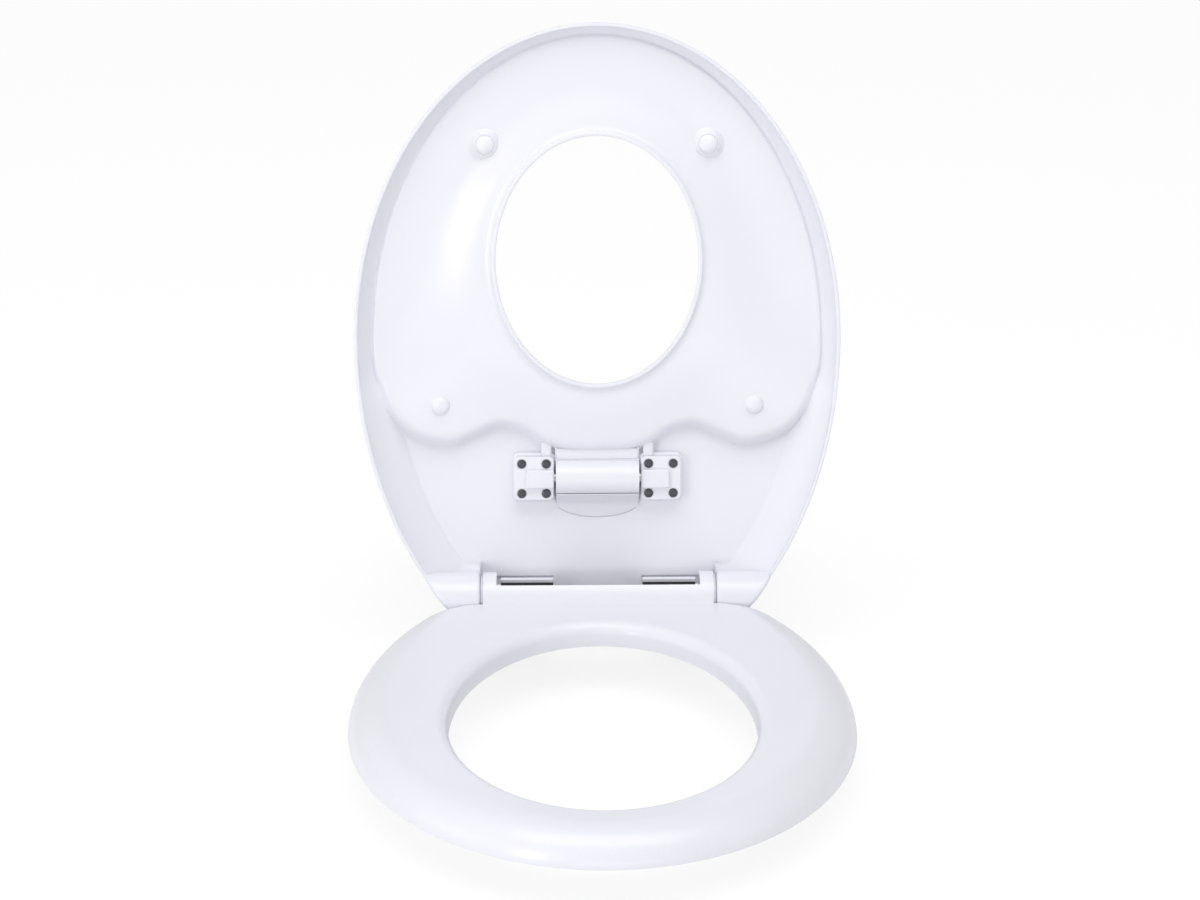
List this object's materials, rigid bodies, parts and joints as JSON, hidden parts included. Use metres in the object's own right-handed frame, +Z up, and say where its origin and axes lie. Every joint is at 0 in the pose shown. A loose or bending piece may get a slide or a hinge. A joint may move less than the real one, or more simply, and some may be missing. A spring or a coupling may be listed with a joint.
{
  "type": "toilet seat with lid",
  "caption": "Family toilet seat in white plastic: an adult ring, a raised lid that is itself a child seat with an oval opening and a small hinged cover, and quick-release soft-close hinges.",
  "frame": {"origin": "midway between the two bowl fixings, at the height of the bowl rim", "axes": "+Z up, -Y to the front of the seat, +X across to the right as seen from the front"},
  "size_m": [0.365, 0.7651, 0.4791],
  "materials": {
    "white_plastic": "gloss",
    "black_plastic": "satin",
    "grey_plastic": "matte",
    "bumper": "satin",
    "black_rubber": "matte",
    "steel": "brushed",
    "dark_steel": "satin",
    "brass": "satin"
  },
  "bodies": {
    "mount": {"base_gasket_left": "black_rubber", "base_gasket_right": "black_rubber", "base_plate_left": "steel", "base_plate_right": "steel", "expansion_sleeve_left": "black_rubber", "expansion_sleeve_right": "black_rubber", "fixing_screw_left": "steel", "fixing_screw_right": "steel", "hinge_post_left": "black_plastic", "hinge_post_right": "black_plastic", "plate_stud_left": "steel", "plate_stud_right": "steel", "release_spring_left": "steel", "release_spring_right": "steel", "sleeve_nut_left": "brass", "sleeve_nut_right": "brass", "ring_damper": "grey_plastic", "lid_damper": "grey_plastic"},
    "ring": {"seat_ring": "white_plastic", "knuckle_bush": "grey_plastic", "ring_damper_shaft": "steel", "ring_bumper_front_left": "bumper", "ring_bumper_front_right": "bumper", "ring_bumper_rear_left": "bumper", "ring_bumper_rear_right": "bumper"},
    "lid": {"lid_seat": "white_plastic", "cover_pin": "steel", "cover_damper_shaft": "steel", "ear_bush": "grey_plastic", "lid_damper_shaft": "steel", "bracket_screws_left": "dark_steel", "bracket_screws_right": "dark_steel", "hinge_bracket_left": "white_plastic", "hinge_bracket_right": "white_plastic", "lid_bumper_front_left": "bumper", "lid_bumper_front_right": "bumper", "lid_bumper_rear_left": "bumper", "lid_bumper_rear_right": "bumper"},
    "cover": {"child_cover": "white_plastic", "cover_damper": "grey_plastic", "cover_bumper_front_left": "bumper", "cover_bumper_front_right": "bumper", "cover_bumper_rear_left": "bumper", "cover_bumper_rear_right": "bumper"},
    "button_left": {"release_button_left": "black_plastic"},
    "button_right": {"release_button_right": "black_plastic"}
  },
  "joints": [
    {"name": "ring_hinge", "type": "hinge", "parent": "mount", "child": "ring", "pos_m": [0, 0, 0.026], "axis": [-1, 0, 0], "range_deg": [0, 98]},
    {"name": "lid_hinge", "type": "hinge", "parent": "mount", "child": "lid", "pos_m": [0, 0, 0.026], "axis": [-1, 0, 0], "range_deg": [-100, 0]},
    {"name": "cover_hinge", "type": "hinge", "parent": "lid", "child": "cover", "pos_m": [0, 0.02745, 0.11255], "axis": [-1, 0, 0], "range_deg": [-100, 0]},
    {"name": "button_left_slide", "type": "slide", "parent": "mount", "child": "button_left", "axis": [0, -1, 0], "range_m": [0, 0.004], "stiffness_N_per_m": 400, "deforming": ["release_spring_left"]},
    {"name": "button_right_slide", "type": "slide", "parent": "mount", "child": "button_right", "axis": [0, -1, 0], "range_m": [0, 0.004], "stiffness_N_per_m": 400, "deforming": ["release_spring_right"]}
  ]
}
